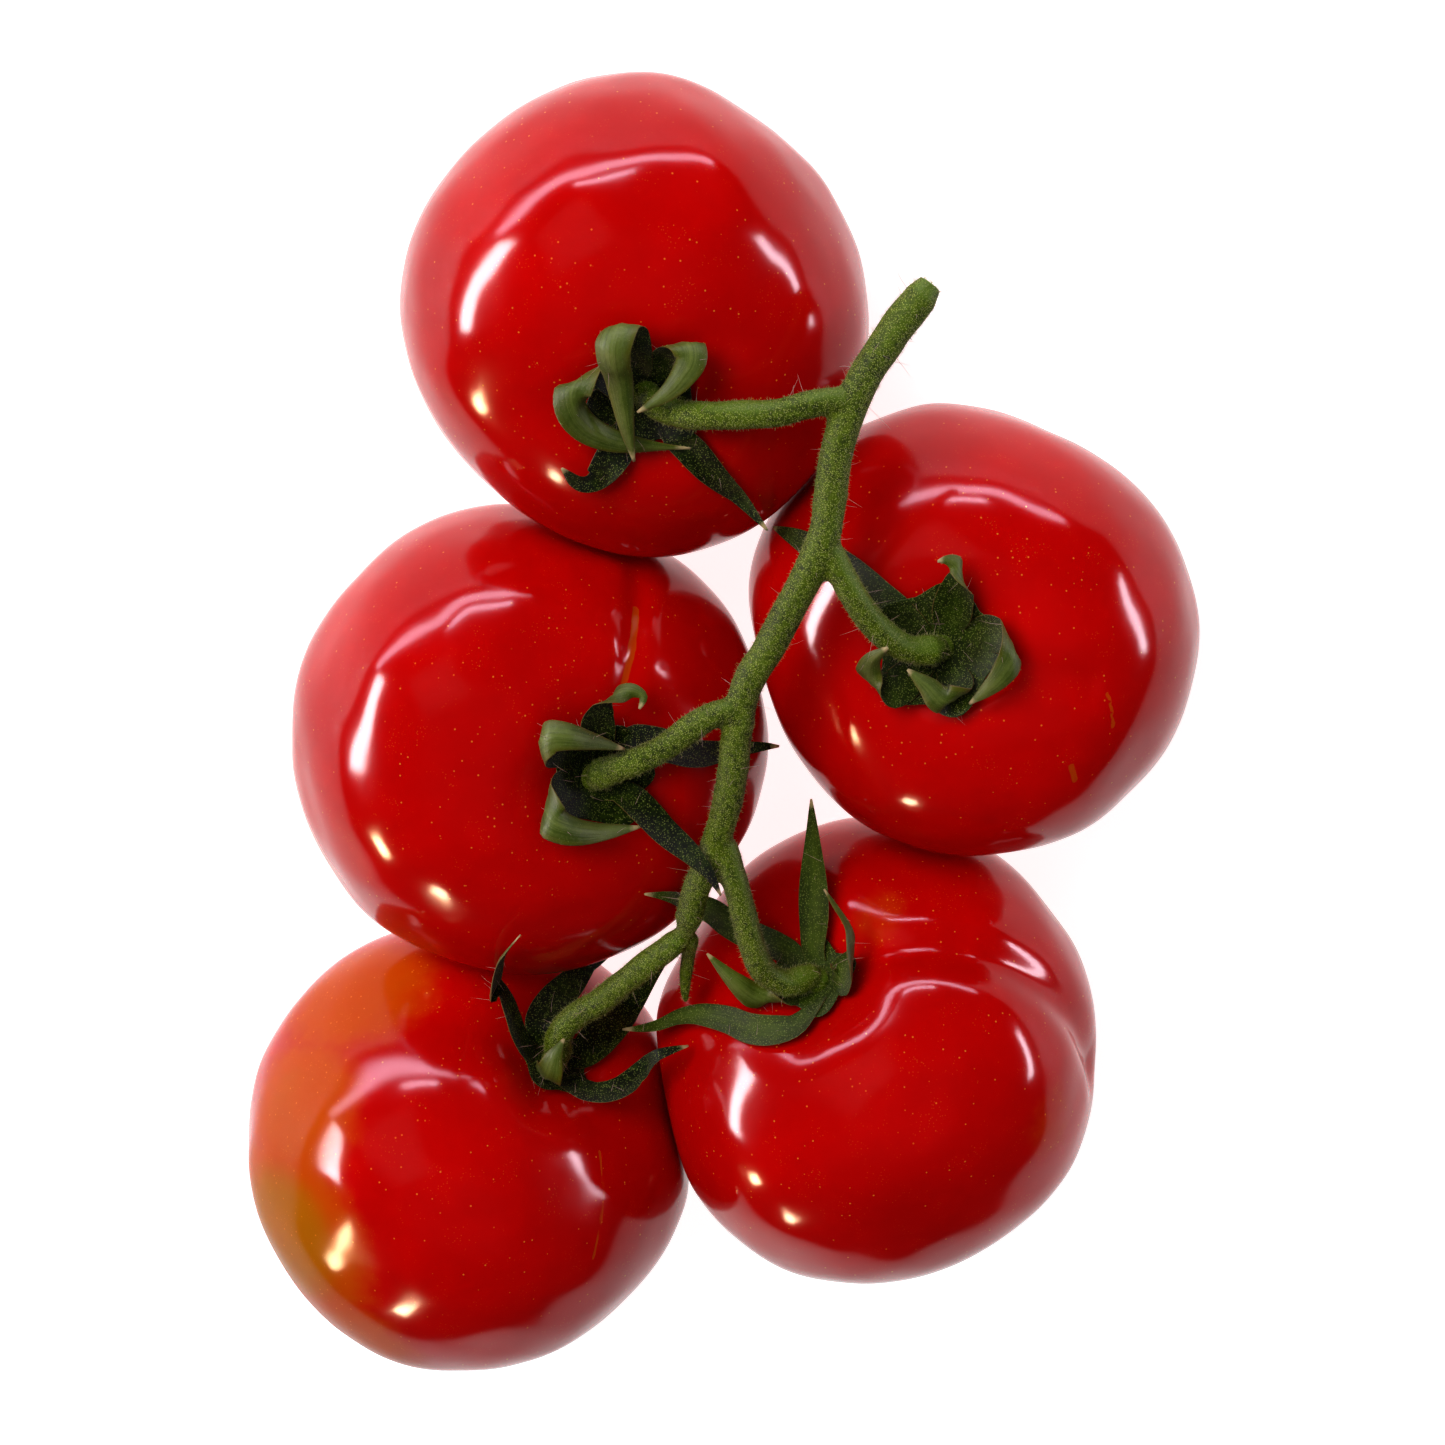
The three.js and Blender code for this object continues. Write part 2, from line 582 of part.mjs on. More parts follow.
for (const fruit of fruits) {
  sepals[fruit.name].forEach((sepal, i) => {
    const name = `sepal_${fruit.name.split('_')[1]}_${i + 1}`;
    const blade = toSolid(sepalShape(fruit, sepal))
      .subtract(toSolid(calyxDisc(fruit, fitGap)));
    addPiece(name, toGeometry(blade), sepalMaterial);
  });
}

// The origin is under the middle of the whole truss, on the resting surface.
const middle = new THREE.Box3().setFromObject(truss, true).getCenter(new THREE.Vector3());
truss.position.set(-middle.x, -middle.y, 0);

export default truss;
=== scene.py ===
import math
import random

import bmesh
import bpy
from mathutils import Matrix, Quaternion, Vector, noise


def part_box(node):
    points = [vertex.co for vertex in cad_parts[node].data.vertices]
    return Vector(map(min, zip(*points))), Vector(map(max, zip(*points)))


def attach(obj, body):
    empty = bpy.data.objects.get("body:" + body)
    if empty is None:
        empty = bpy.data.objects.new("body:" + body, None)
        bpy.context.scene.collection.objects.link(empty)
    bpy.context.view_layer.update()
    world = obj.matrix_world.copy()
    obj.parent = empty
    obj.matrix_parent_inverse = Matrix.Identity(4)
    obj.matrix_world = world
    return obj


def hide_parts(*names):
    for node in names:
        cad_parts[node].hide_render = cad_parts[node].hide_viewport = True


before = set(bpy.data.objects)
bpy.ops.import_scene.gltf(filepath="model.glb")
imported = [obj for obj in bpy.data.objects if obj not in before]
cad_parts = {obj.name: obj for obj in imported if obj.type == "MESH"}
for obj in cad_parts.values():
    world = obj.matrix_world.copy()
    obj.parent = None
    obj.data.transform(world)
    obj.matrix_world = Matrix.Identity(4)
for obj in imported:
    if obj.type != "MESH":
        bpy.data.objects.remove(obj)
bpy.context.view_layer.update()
mm = 0.001  # sizes below are in millimetres, as on the part's own drawing

# The camera.

viewing = {
    "tilt": 21,  # degrees off straight down, towards the cut end of the stem
    "distance": 600,
    "lookAt": (1.4, 1.7, 30),
    "lens": 100,
    "sensor": 36,
    "farthest": 20000,
}


def setCamera():
    tilt = math.radians(viewing["tilt"])
    camera = bpy.data.objects.new("camera", bpy.data.cameras.new("camera"))
    camera.data.lens = viewing["lens"]
    camera.data.sensor_width = viewing["sensor"]
    camera.data.clip_end = viewing["farthest"] * mm
    away = Vector((0, math.sin(tilt), math.cos(tilt))) * viewing["distance"]
    camera.location = (Vector(viewing["lookAt"]) + away) * mm
    camera.rotation_euler = (-tilt, 0, 0)
    bpy.context.collection.objects.link(camera)
    bpy.context.scene.camera = camera
    print("camera set")


setCamera()

# Small tools.


def mix(a, b, share):
    return a + (b - a) * share


def clamp(value, low=0.0, high=1.0):
    return max(low, min(high, value))


def smoothStep(low, high, value):
    t = clamp((value - low) / (high - low))
    return t * t * (3 - 2 * t)


def meshPiece(name, bm, material):
    mesh = bpy.data.meshes.new(name)
    bm.to_mesh(mesh)
    bm.free()
    for face in mesh.polygons:
        face.use_smooth = True
    mesh.materials.append(material)
    piece = bpy.data.objects.new(name, mesh)
    bpy.context.collection.objects.link(piece)
    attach(piece, "root")
    return piece


def pointValues(mesh, name, values):
    mesh.attributes.new(name, "FLOAT", "POINT").data.foreach_set("value", values)


# Shader arithmetic.


class Wire:  # an output socket that Python's own operators can work on
    def __init__(self, tree, socket):
        self.tree = tree
        self.socket = socket

    def node(self, kind, settings, inputs, output=0):
        made = self.tree.nodes.new(kind)
        for key, value in settings.items():
            setattr(made, key, value)
        for key, value in inputs.items():
            if isinstance(value, Wire):
                self.tree.links.new(value.socket, made.inputs[key])
            elif isinstance(value, tuple) and made.inputs[key].type == "RGBA":
                made.inputs[key].default_value = (*value, 1)
            else:
                made.inputs[key].default_value = value
        return Wire(self.tree, made.outputs[output])

    def math(self, operation, *values):
        return self.node("ShaderNodeMath", {"operation": operation}, dict(enumerate(values)))

    def __add__(self, other):
        return self.math("ADD", self, other)

    __radd__ = __add__

    def __sub__(self, other):
        return self.math("SUBTRACT", self, other)

    def __rsub__(self, other):
        return self.math("SUBTRACT", other, self)

    def __mul__(self, other):
        return self.math("MULTIPLY", self, other)

    __rmul__ = __mul__

    def __abs__(self):
        return self.math("ABSOLUTE", self)

    def step(self, low, high):  # 0 below low, 1 above high, smooth between
        settings = {"interpolation_type": "SMOOTHSTEP"}
        return self.node("ShaderNodeMapRange", settings, {0: self, 1: low, 2: high})

    def colour(self, a, b):  # colour a where this is 0, colour b where it is 1
        settings = {"data_type": "RGBA"}
        return self.node("ShaderNodeMix", settings, {0: self, 6: a, 7: b}, 2)

    def noise(self, place, scale, detail=2.0, roughness=0.5):
        inputs = {"Vector": place, "Scale": scale, "Detail": detail, "Roughness": roughness}
        return self.node("ShaderNodeTexNoise", {}, inputs)

    def cells(self, place, scale, output=0):
        settings = {"feature": "F1"}
        return self.node("ShaderNodeTexVoronoi", settings, {"Vector": place, "Scale": scale}, output)

    def attribute(self, name):
        return self.node("ShaderNodeAttribute", {"attribute_name": name}, {}, 2)


def newMaterial(name, uniform):
    material = bpy.data.materials.new(name)
    material.use_nodes = True
    tree = material.node_tree
    shader = tree.nodes["Principled BSDF"]
    for key, value in uniform.items():
        shader.inputs[key].default_value = value
    start = Wire(tree, None)
    place = start.node("ShaderNodeTexCoord", {}, {}, 3)  # object coordinates

    def feed(socket, wire):
        tree.links.new(wire.socket, shader.inputs[socket])

    return material, start, place, feed


def bump(height, look):
    inputs = {"Strength": look["bumpStrength"], "Distance": look["bumpDepth"] * mm, "Height": height}
    return height.node("ShaderNodeBump", {}, inputs)


# Fruit skin.

skinLook = {
    "red": (0.64, 0.0008, 0.0004),
    "deepRed": (0.50, 0.0005, 0.0004),
    "orange": (0.57, 0.082, 0.0005),
    "straw": (0.44, 0.150, 0.002),
    "speck": (0.85, 0.25, 0.03),
    "cork": (0.30, 0.15, 0.06),
    "gloss": 0.8,
    "turningGloss": 0.45,  # the skin is duller where it still turns red
    "cloudScale": 45,  # scales are in cells to the metre
    "mottleScale": 260,
    "rippleScale": 150,
    "poreScale": 900,
    "speckScale": 900,
    "speckSize": 0.17,
    "fineSpeckScale": 2200,
    "fineSpeckSize": 0.28,
    "speckCover": 0.15,  # anywhere on the skin
    "turningCover": 0.4,  # more where it still turns red
    "shoulderCover": 0.35,  # and more near the stem
    "roughness": 0.2,
    "bumpStrength": 0.2,
    "bumpDepth": 0.3,
}


def skinMaterial():
    uniform = {
        "IOR": 1.0,
        "Coat IOR": 1.38,
        "Coat Roughness": 0.13,
        "Subsurface Weight": 0.1,
        "Subsurface Radius": (1.0, 0.06, 0.03),
        "Subsurface Scale": 0.004,
    }
    material, start, place, feed = newMaterial("tomatoSkin", uniform)
    look = skinLook
    cloudy = start.noise(place, look["cloudScale"], 3)
    mottled = start.noise(place, look["mottleScale"], 4, 0.6)
    unripe = start.attribute("unripe")
    streak = start.attribute("streak")
    scar = start.attribute("scar")
    ragged = unripe + (mottled - 0.5) * 0.35 + (cloudy - 0.5) * 0.25
    turning = ragged.step(0.25, 0.8)
    greenish = (unripe + (cloudy - 0.5) * 0.3).step(0.8, 1.2)

    flesh = (cloudy * 0.8 + mottled * 0.2).step(0.3, 0.75).colour(look["deepRed"], look["red"])
    pale = greenish.colour(look["orange"], look["straw"])
    colour = (turning * 0.92).colour(flesh, pale)

    # small cork specks, more of them where the skin is turning
    near = start.cells(place, look["speckScale"])
    chance = start.cells(place, look["speckScale"], 1)
    chance = start.node("ShaderNodeSeparateColor", {}, {0: chance})
    crowd = look["speckCover"] + turning * look["turningCover"]
    crowd += start.attribute("shoulder") * look["shoulderCover"]
    specks = (look["speckSize"] - near).step(0.0, 0.10) * (crowd - chance).step(0.0, 0.05)
    fine = start.cells(place, look["fineSpeckScale"])
    fineSpecks = (look["fineSpeckSize"] - fine).step(0.0, 0.2) * (mottled - 0.5).step(0.02, 0.12)
    colour = (specks * 0.75 + fineSpecks * (0.22 + turning * 0.25)).colour(colour, look["speck"])

    # a few dry lines, and the blossom scar
    dry = (streak + (mottled - 0.5) * 0.7).step(0.5, 0.7)
    colour = (dry * 0.75).colour(colour, look["orange"])
    corky = (scar + (mottled - 0.5) * 0.4).step(0.45, 0.6)
    colour = corky.colour(colour, look["cork"])
    feed("Base Color", colour)
    feed("Coat Weight", look["gloss"] - turning * (look["gloss"] - look["turningGloss"]))
    feed("Roughness", look["roughness"] + corky * 0.5 + specks * 0.15 + mottled * 0.06)
    ripple = start.noise(place, look["rippleScale"], 2)
    pores = start.noise(place, look["poreScale"], 2)
    height = ripple * 3 + mottled + pores * 0.3 + specks * 0.5 - dry * 0.4 + corky * 1.5
    feed("Normal", bump(height, look))
    return material


# Fruits.

fruitShape = {
    "plumpness": 2.25,
    "dimpleDepth": 5,
    "dimpleRadius": 9,
    "scarDepth": 0.7,
    "scarRadius": 6,
    "shoulderRibs": 5,
    "ribDepth": 0.5,
    "ribReach": 14.4,
    "ribGain": 4,
    "pressRounding": 1.2,
    "fruitGap": 0.05,
    "calyxDepth": 3.5,  # from the top of the fruit, before its dimple, down to the calyx
    "restHeight": 0.25,  # where the weight of the fruit flattens it
    "restRounding": 0.5,
    "roundness": 7,
    "waviness": 0.75,  # slow undulation of the skin
    "waveLength": 16,
    "fineWave": 0.22,
    "fineWaveScale": 2.3,
    "patchCore": 0.35,  # a turning patch fades from here, in shares of its spread
    "patchEdge": 1.5,  # to here
    "shoulderStart": 0.3,  # radians down from the stem end
    "shoulderEnd": 1.3,
    "corkCore": 0.03,  # radians round the blossom end
    "corkEdge": 0.14,
    "lineEnd": 1.2,  # how sharply creases and streaks end
}

# Creases, streaks and unripe patches are in degrees: the turn round the stem end, and the drop
# from it. The sepal light share paints light on the upper side of the fruit's sepals: painted light.
fruits = {
    "tomato_1": {
        "across": 68, "tall": 57.1, "lean": 10, "toward": 292,
        "swells": [[2, 0.037, 112], [3, 0.009, 51], [4, 0.014, 87]],
    },
    "tomato_2": {
        "across": 66.4, "tall": 55.8, "lean": 19, "toward": 135, "paintedLightOnSepals": 0.3,
        "swells": [[2, 0.033, 131], [3, 0.017, 14], [5, 0.008, 27]],
        "creases": [{"turns": (350, 346), "drops": (14, 44), "depth": 0.8, "width": 3.2}],
        "streaks": [
            {"turns": (344, 335), "drops": (50, 54), "width": 0.8},
            {"turns": (317, 314), "drops": (50, 54), "width": 0.8},
        ],
    },
    "tomato_3": {
        "across": 70.4, "tall": 59.1, "lean": 25, "toward": 18,
        "swells": [[2, 0.013, 169], [3, 0.013, 1]],
        "creases": [{"turns": (71, 67), "drops": (24, 74), "depth": 0.7, "width": 2.6}],
        "streaks": [{"turns": (69, 71), "drops": (50, 27), "width": 0.9}],
    },
    "tomato_4": {
        "across": 69.6, "tall": 58.5, "lean": 54, "toward": 117, "paintedLightOnSepals": 0.8,
        "swells": [[2, 0.03, 72], [3, 0.013, 91], [4, 0.008, 79], [5, 0.007, 25]],
        "creases": [{"turns": (14, -9), "drops": (12, 100), "depth": 1.7, "width": 4.2}],
        "unripe": [{"turn": 40, "drop": 27, "spread": 11, "strength": 0.42},
                   {"turn": 328, "drop": 82, "spread": 13, "strength": 0.42}],
    },
    "tomato_5": {
        "across": 69.8, "tall": 58.6, "lean": 64, "toward": 55,
        "swells": [[2, 0.021, 65], [3, 0.007, 20]],
        "unripe": [{"turn": 162, "drop": 64, "spread": 26, "strength": 0.8},
                   {"turn": 194, "drop": 80, "spread": 24, "strength": 0.9},
                   {"turn": 218, "drop": 102, "spread": 28, "strength": 1.15},
                   {"turn": 247, "drop": 116, "spread": 24, "strength": 0.9}],
        "streaks": [{"turns": (301, 295), "drops": (30, 58), "width": 0.35}],
    },
}


def direction(turn, drop):  # degrees, in a fruit's own axes
    turn = math.radians(turn)
    drop = math.radians(drop)
    return Vector((math.sin(drop) * math.cos(turn), math.sin(drop) * math.sin(turn), math.cos(drop)))


def ownAxes(fruit, name):
    lean = math.radians(fruit["lean"])
    toward = math.radians(fruit["toward"])
    axis = Vector((math.sin(lean) * math.cos(toward), math.sin(lean) * math.sin(toward), math.cos(lean)))
    east = (Vector((1, 0, 0)) - axis * axis.x).normalized()
    fruit["axis"] = axis
    fruit["east"] = east
    fruit["north"] = axis.cross(east)
    low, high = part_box(name.replace("tomato", "calyx"))
    calyx = (Vector(low) + Vector(high)) / (2 * mm)
    fruit["centre"] = calyx - axis * (fruit["tall"] / 2 - fruitShape["calyxDepth"])


def fromFruit(fruit, x, y, z):
    return fruit["centre"] + fruit["east"] * x + fruit["north"] * y + fruit["axis"] * z


# Point of the free skin in the fruit's own axes: turn round the stem end, drop from it.
def skinPoint(fruit, turn, drop):
    shape = fruitShape
    power = shape["plumpness"]
    radius = fruit["across"] / 2
    reach = ((math.sin(drop) / radius) ** power
             + (abs(math.cos(drop)) / (fruit["tall"] / 2)) ** power) ** (-1 / power)
    girth = 1
    for lobes, depth, bearing in fruit["swells"]:
        girth += depth * math.cos(lobes * (turn - math.radians(bearing)))
    out = reach * math.sin(drop) * girth
    up = reach * math.cos(drop)
    if up > 0:
        shoulder = (out / radius) * math.exp(-((out / shape["ribReach"]) ** 2)) * shape["ribGain"]
        up -= shape["dimpleDepth"] * math.exp(-((out / shape["dimpleRadius"]) ** 2))
        up -= shape["ribDepth"] * shoulder * (0.5 - 0.5 * math.cos(shape["shoulderRibs"] * turn))
    else:
        up += shape["scarDepth"] * math.exp(-((out / shape["scarRadius"]) ** 2))
    return Vector((out * math.cos(turn), out * math.sin(turn), up))


# How near a point of the skin is to a line across it: 1 on the line, falling to 0 at its width.
def nearLine(line, turn, drop, radius):
    start, end = line["drops"]
    share = (math.degrees(drop) - start) / (end - start)
    middle = math.radians(mix(line["turns"][0], line["turns"][1], clamp(share)))
    beside = (turn - middle + math.pi) % (2 * math.pi) - math.pi
    aside = beside * radius * math.sin(drop) / line["width"]
    past = max(0, -share, share - 1) * abs(math.radians(end - start)) * radius / line["width"]
    return math.exp(-(aside ** 2) - (past * fruitShape["lineEnd"]) ** 2)


def makeFruit(fruit, material):
    shape = fruitShape
    bm = bmesh.new()
    bmesh.ops.create_icosphere(bm, subdivisions=shape["roundness"], radius=1)
    radius = fruit["across"] / 2
    marks = {"unripe": [], "streak": [], "shoulder": [], "scar": []}
    patches = [(direction(p["turn"], p["drop"]), p) for p in fruit.get("unripe", [])]
    for vert in bm.verts:
        turn = math.atan2(vert.co.y, vert.co.x)
        drop = math.acos(clamp(vert.co.z, -1, 1))
        own = skinPoint(fruit, turn, drop)
        outward = own.normalized()
        spot = (own + fruit["centre"]) / shape["waveLength"]
        wave = noise.noise(spot) + shape["fineWave"] * noise.noise(spot * shape["fineWaveScale"])
        wave *= shape["waviness"] * (0.5 + 0.5 * math.sin(drop))
        for crease in fruit.get("creases", []):
            wave -= crease["depth"] * nearLine(crease, turn, drop, radius)
        own += outward * wave
        vert.co = fruit["east"] * own.x + fruit["north"] * own.y + fruit["axis"] * own.z
        unripe = 0
        for middle, patch in patches:
            away = math.degrees(outward.angle(middle)) / patch["spread"]
            faded = smoothStep(shape["patchCore"], shape["patchEdge"], away)
            unripe = max(unripe, patch["strength"] * (1 - faded))
        marks["unripe"].append(unripe)
        lines = [nearLine(line, turn, drop, radius) for line in fruit.get("streaks", [])]
        marks["streak"].append(max(lines, default=0))
        marks["shoulder"].append(1 - smoothStep(shape["shoulderStart"], shape["shoulderEnd"], drop))
        scar = smoothStep(math.pi - shape["corkEdge"], math.pi - shape["corkCore"], drop)
        marks["scar"].append(scar)
    fruit["bmesh"] = bm
    fruit["marks"] = marks
    fruit["material"] = material


def reachAlong(fruit, way):
    return max(vert.co.dot(way) for vert in fruit["bmesh"].verts)


def pressFruits():
    presses = {}
    for name, fruit in fruits.items():
        presses[name] = []
        for other in fruits.values():
            if other is fruit:
                continue
            way = other["centre"] - fruit["centre"]
            distance = way.length
            way.normalize()
            own = reachAlong(fruit, way)
            overlap = own + reachAlong(other, -way) + fruitShape["fruitGap"] - distance
            if overlap > 0:
                presses[name].append((way, own - overlap / 2))
    for name, fruit in fruits.items():
        for vert in fruit["bmesh"].verts:
            for way, stop in presses[name]:
                over = vert.co.dot(way) - stop
                vert.co -= way * 0.5 * (over + math.hypot(over, fruitShape["pressRounding"]))
            vert.co += fruit["centre"]
            low = fruitShape["restHeight"] - vert.co.z
            vert.co.z += 0.5 * (low + math.hypot(low, fruitShape["restRounding"]))
            vert.co *= mm
        piece = meshPiece(name + "_fruit", fruit["bmesh"], fruit["material"])
        for mark, values in fruit["marks"].items():
            pointValues(piece.data, mark, values)
        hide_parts(name)


skin = skinMaterial()
for fruitName, fruit in fruits.items():
    ownAxes(fruit, fruitName)
    makeFruit(fruit, skin)
pressFruits()
print("fruits made")

# Stems.

stemShape = {
    "nodes": ["main_stem", "empty_stalk"] + ["stalk_%d" % i for i in range(1, 6)],
    "neck": 0.62,  # how wide the neck under a knuckle is, as a share of the calyx
    "neckRise": 0.3,
    "mergeWithin": 0.01,
    "knuckle": 0.8,
    "knuckleLength": 2.3,
    "knuckleHeight": 2.6,
    "knuckleEnd": 3,  # in knuckle lengths
    "swell": 0.2,  # closes the small gaps between the stems before they grow together
    "slim": 0.24,  # and takes it off again afterwards
    "voxel": 0.38,
    "smoothing": 9,
    "roughness": 0.22,
    "roughLength": 4.5,
    "cutEnd": (30.4, 75.3, 52.2),
    "cutWay": (0.60, 0.76, -0.24),
    "cutBack": 0.5,
    "rind": 0.75,
    "pithHeight": 0.15,
}

stemLook = {
    "dark": (0.022, 0.036, 0.002),
    "green": (0.100, 0.150, 0.003),
    # painted light: the lighter green of the stems' lit side
    "paintedLitGreen": (0.115, 0.185, 0.014),
    "speck": (0.52, 0.58, 0.13),
    "pith": (0.42, 0.38, 0.12),
    "paintedLightWay": (0.45, 0.75, 0.48),  # the side of the stems painted lighter as painted light; that side is also smoother
    "hair": (0.46, 0.46, 0.13),
    # pinkish: painted red light from the fruit behind the long hairs
    "longHair": (0.60, 0.36, 0.30),
    "cloudScale": 120,
    "grainScale": 1300,
    "fuzzScale": 4400,
    "fuzzSize": 0.38,
    "bumpStrength": 0.55,
    "bumpDepth": 0.3,
}


def stemMaterial():
    uniform = {
        "IOR": 1.3,
        "Sheen Weight": 0.06,
        "Sheen Roughness": 0.35,
        "Sheen Tint": (0.95, 0.8, 0.4, 1),
        "Subsurface Weight": 0.08,
        "Subsurface Radius": (0.4, 1.0, 0.2),
        "Subsurface Scale": 0.001,
    }
    material, start, place, feed = newMaterial("greenStem", uniform)
    look = stemLook
    cloudy = start.noise(place, look["cloudScale"], 3)
    grain = start.noise(place, look["grainScale"], 3, 0.6)
    normal = start.node("ShaderNodeNewGeometry", {}, {}, 1)  # the normal
    facing = start.node("ShaderNodeVectorMath", {"operation": "DOT_PRODUCT"},
                        {0: normal, 1: look["paintedLightWay"]}, 1)
    # painted light: the side of the stems facing one way is painted a lighter green; it is also smoother
    # and has fewer specks
    smoothPaintedLitSide = (facing + (cloudy - 0.5) * 0.5).step(0.62, 0.86)
    colour = (cloudy * 0.25 + grain * 0.75).step(0.30, 0.62).colour(look["dark"], look["green"])
    colour = (smoothPaintedLitSide * 0.75).colour(colour, look["paintedLitGreen"])
    fuzz = start.cells(place, look["fuzzScale"])
    specks = (look["fuzzSize"] - fuzz).step(0.0, 0.12) * (1 - smoothPaintedLitSide * 0.5)
    colour = (specks * 0.75).colour(colour, look["speck"])
    colour = start.attribute("pith").step(0.4, 0.6).colour(colour, look["pith"])
    feed("Base Color", colour)
    feed("Roughness", 0.62 - smoothPaintedLitSide * 0.15 + grain * 0.1)
    feed("Normal", bump(grain + specks * 0.6, look))
    return material


def makeStems(material):
    shape = stemShape
    bm = bmesh.new()
    for node in shape["nodes"]:
        bm.from_mesh(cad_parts[node].data)
    for name, fruit in fruits.items():
        known = set(bm.verts)
        bm.from_mesh(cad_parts[name.replace("tomato", "calyx")].data)
        middle = fruit["centre"] + fruit["axis"] * (fruit["tall"] / 2 - fruitShape["calyxDepth"])
        for vert in set(bm.verts) - known:
            aside = vert.co / mm - middle
            aside -= fruit["axis"] * aside.dot(fruit["axis"])
            vert.co -= aside * (1 - shape["neck"]) * mm
            vert.co += fruit["axis"] * shape["neckRise"] * mm
    bmesh.ops.remove_doubles(bm, verts=bm.verts, dist=shape["mergeWithin"] * mm)
    bm.normal_update()
    for vert in bm.verts:
        vert.co += vert.normal * shape["swell"] * mm
    rough = meshPiece("stemsRough", bm, material)
    remesh = rough.modifiers.new("grow", "REMESH")
    remesh.mode = "VOXEL"
    remesh.voxel_size = shape["voxel"] * mm
    soften = rough.modifiers.new("soften", "SMOOTH")
    soften.iterations = shape["smoothing"]
    grown = bpy.data.meshes.new_from_object(rough.evaluated_get(bpy.context.evaluated_depsgraph_get()))
    bpy.data.objects.remove(rough)

    bm = bmesh.new()
    bm.from_mesh(grown)
    bm.normal_update()
    for vert in bm.verts:
        lump = shape["roughness"] * noise.noise(vert.co / (shape["roughLength"] * mm))
        vert.co += vert.normal * (lump - shape["slim"]) * mm
    for fruit in fruits.values():
        high = fruit["tall"] / 2 - fruitShape["calyxDepth"] + shape["knuckleHeight"]
        middle = fruit["centre"] + fruit["axis"] * high
        for vert in bm.verts:
            near = (vert.co / mm - middle).length / shape["knuckleLength"]
            if near < shape["knuckleEnd"]:
                vert.co += vert.normal * shape["knuckle"] * math.exp(-near ** 2) * mm
    way = Vector(shape["cutWay"]).normalized()
    spot = (Vector(shape["cutEnd"]) - way * shape["cutBack"]) * mm
    cut = bmesh.ops.bisect_plane(bm, geom=bm.verts[:] + bm.edges[:] + bm.faces[:], plane_co=spot,
                                 plane_no=way, clear_outer=True)
    edges = [item for item in cut["geom_cut"] if isinstance(item, bmesh.types.BMEdge)]
    filled = bmesh.ops.holes_fill(bm, edges=edges, sides=0)["faces"]
    bmesh.ops.inset_region(bm, faces=filled, thickness=shape["rind"] * mm,
                           depth=shape["pithHeight"] * mm)
    bm.verts.index_update()
    core = {vert.index for face in filled for vert in face.verts}
    pith = [1.0 if vert.index in core else 0.0 for vert in bm.verts]
    piece = meshPiece("stems", bm, material)
    pointValues(piece.data, "pith", pith)
    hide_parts(*shape["nodes"])
    return piece


stems = makeStems(stemMaterial())
print("stems made")

# Sepals.

sepalShape = {
    "thickness": 0.7,
    "visibleThickness": 0.5,
    "tipThickness": 0.45,  # as a share of the foot's
    "steps": 11,
    "finerSteps": 4,
    "around": 20,
    "lift": 0.6,
    "clearSoftness": 0.2,
    "layingHeight": 5,
    "rollLength": 0.35,
    "channel": 0.25,
    "foot": 3.1,
    "footShare": 0.62,  # widths are shares of the widest
    "widestAt": 0.3,
    "tipLoss": 0.93,
    "taperPower": 1.5,
    "wave": 0.175,  # of the edges, as a share of half the width
    "waveTurns": 9,  # radians from foot to tip
    "wavePhase": 2.1,  # so that no two neighbours wave alike
    "keel": 0.28,
    "keelWidth": 0.16,
    "keelAbove": 0.4,  # the keel's groove on the upper side, as a share of its height below
}

# Each sepal has a turn round the calyx and points in its fruit's own axes, from the calyx. A roll
# is an angle, and the share of the length where it starts.

